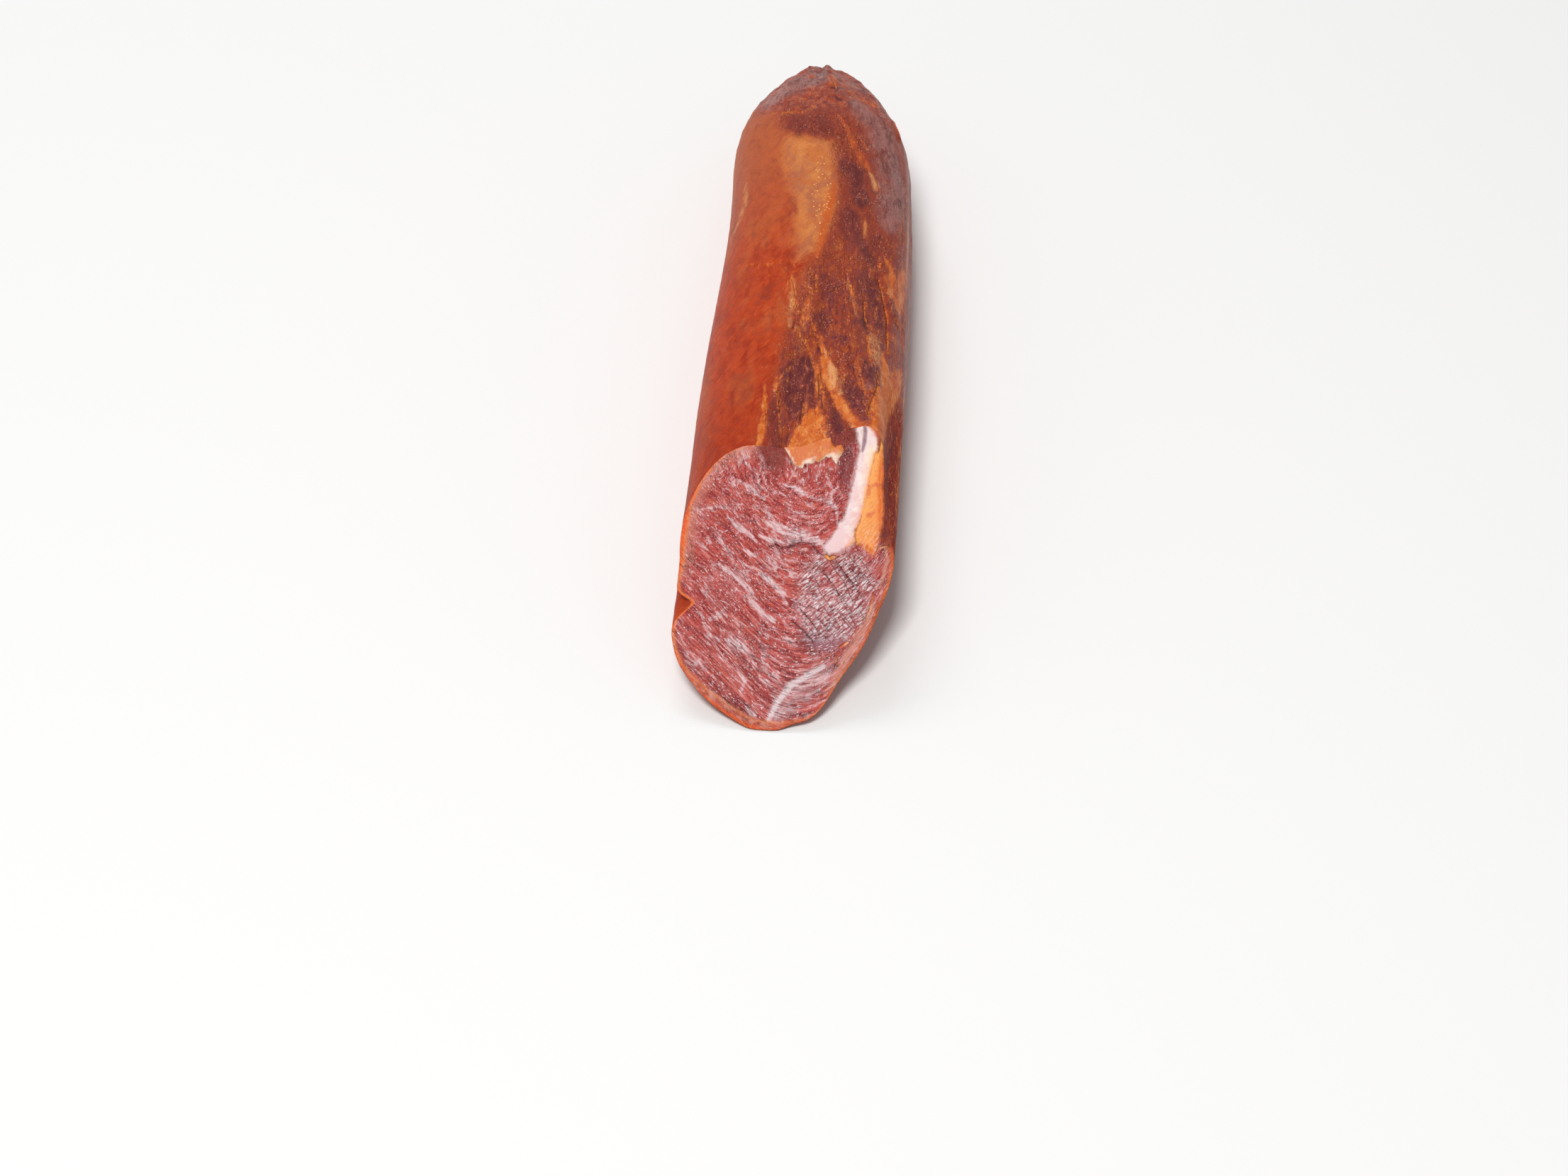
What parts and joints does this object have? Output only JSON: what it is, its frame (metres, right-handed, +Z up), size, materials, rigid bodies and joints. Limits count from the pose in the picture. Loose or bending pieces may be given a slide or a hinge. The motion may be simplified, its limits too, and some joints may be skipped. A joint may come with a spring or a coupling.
{
  "type": "cured pork loin",
  "caption": "End piece of a whole dried cured pork loin: long rounded body with a puckered tied end and a slanting cut that shows marbled meat.",
  "frame": {"origin": "middle of the bounding box in X and Y, at the flat strip underneath that the loin rests on", "axes": "+Y along the loin, from the slanting cut to the puckered end; +Z up, away from the strip it rests on; +X to the right when looking at the cut"},
  "size_m": [0.0662, 0.298, 0.0547],
  "materials": {
    "cured_meat": "satin"
  },
  "bodies": {
    "root": {"cured_loin": "cured_meat"}
  },
  "joints": []
}
